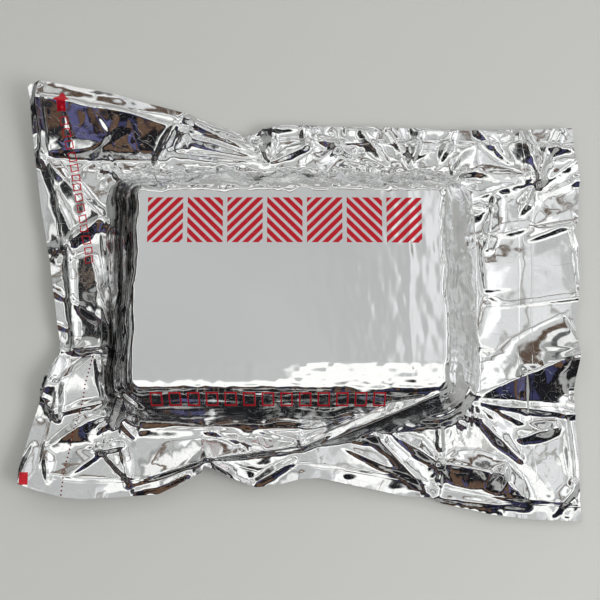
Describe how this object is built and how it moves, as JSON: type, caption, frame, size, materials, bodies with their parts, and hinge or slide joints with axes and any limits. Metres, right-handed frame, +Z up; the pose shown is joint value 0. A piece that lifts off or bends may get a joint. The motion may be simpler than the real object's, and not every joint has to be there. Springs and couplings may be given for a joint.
{
  "type": "vacuum-packed folded blanket in a foil pouch",
  "caption": "Folded fleece blanket pressed flat and sealed under vacuum between two crumpled aluminium film panels with heat-sealed rims.",
  "frame": {"origin": "on the floor, under the middle of the pouch's bounding box", "axes": "+X along the pouch's long way, towards its open-ended side; +Y towards its far long side; +Z up, out of the pressed top face"},
  "size_m": [0.59, 0.46, 0.065],
  "materials": {
    "front_foil": "mirror-bright crumpled aluminium film, with red ink on it",
    "back_foil": "mirror-bright crumpled aluminium film",
    "fleece": "brushed polyester fleece"
  },
  "bodies": {
    "root": {"front_film": "front_foil", "back_film": "back_foil", "blanket": "fleece"}
  },
  "joints": []
}
